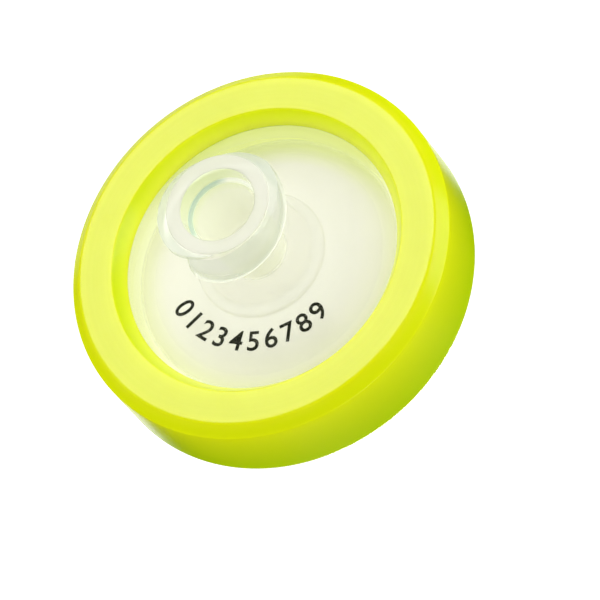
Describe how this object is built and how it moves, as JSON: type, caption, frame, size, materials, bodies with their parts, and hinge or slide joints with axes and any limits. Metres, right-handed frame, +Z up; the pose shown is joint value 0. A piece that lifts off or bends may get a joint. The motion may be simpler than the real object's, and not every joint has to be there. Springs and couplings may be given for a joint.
{
  "type": "syringe filter",
  "caption": "Round membrane syringe filter with a female Luer-lock inlet, a male Luer-slip outlet and a thick moulded colour ring.",
  "frame": {"origin": "on the surface the filter lies on, under the middle of its bounding box", "axes": "+Z up; +X across the filter, level; -Y is the side the inlet leans to. The filter's own axis leans 32.8 degrees from +Z towards -Y, because it lies on the lower rim of its ring and the end of its outlet"},
  "size_m": [0.025, 0.0236, 0.0188],
  "materials": {
    "lime_plastic": "satin moulded polypropylene, bright lime yellow, faintly translucent",
    "natural_plastic": "natural polypropylene, milky and translucent, smooth moulded gloss",
    "membrane": "thin matt white porous film"
  },
  "bodies": {
    "root": {"overmould_ring": "lime_plastic", "inlet_housing": "natural_plastic", "filter_membrane": "membrane", "outlet_housing": "natural_plastic"}
  },
  "joints": []
}
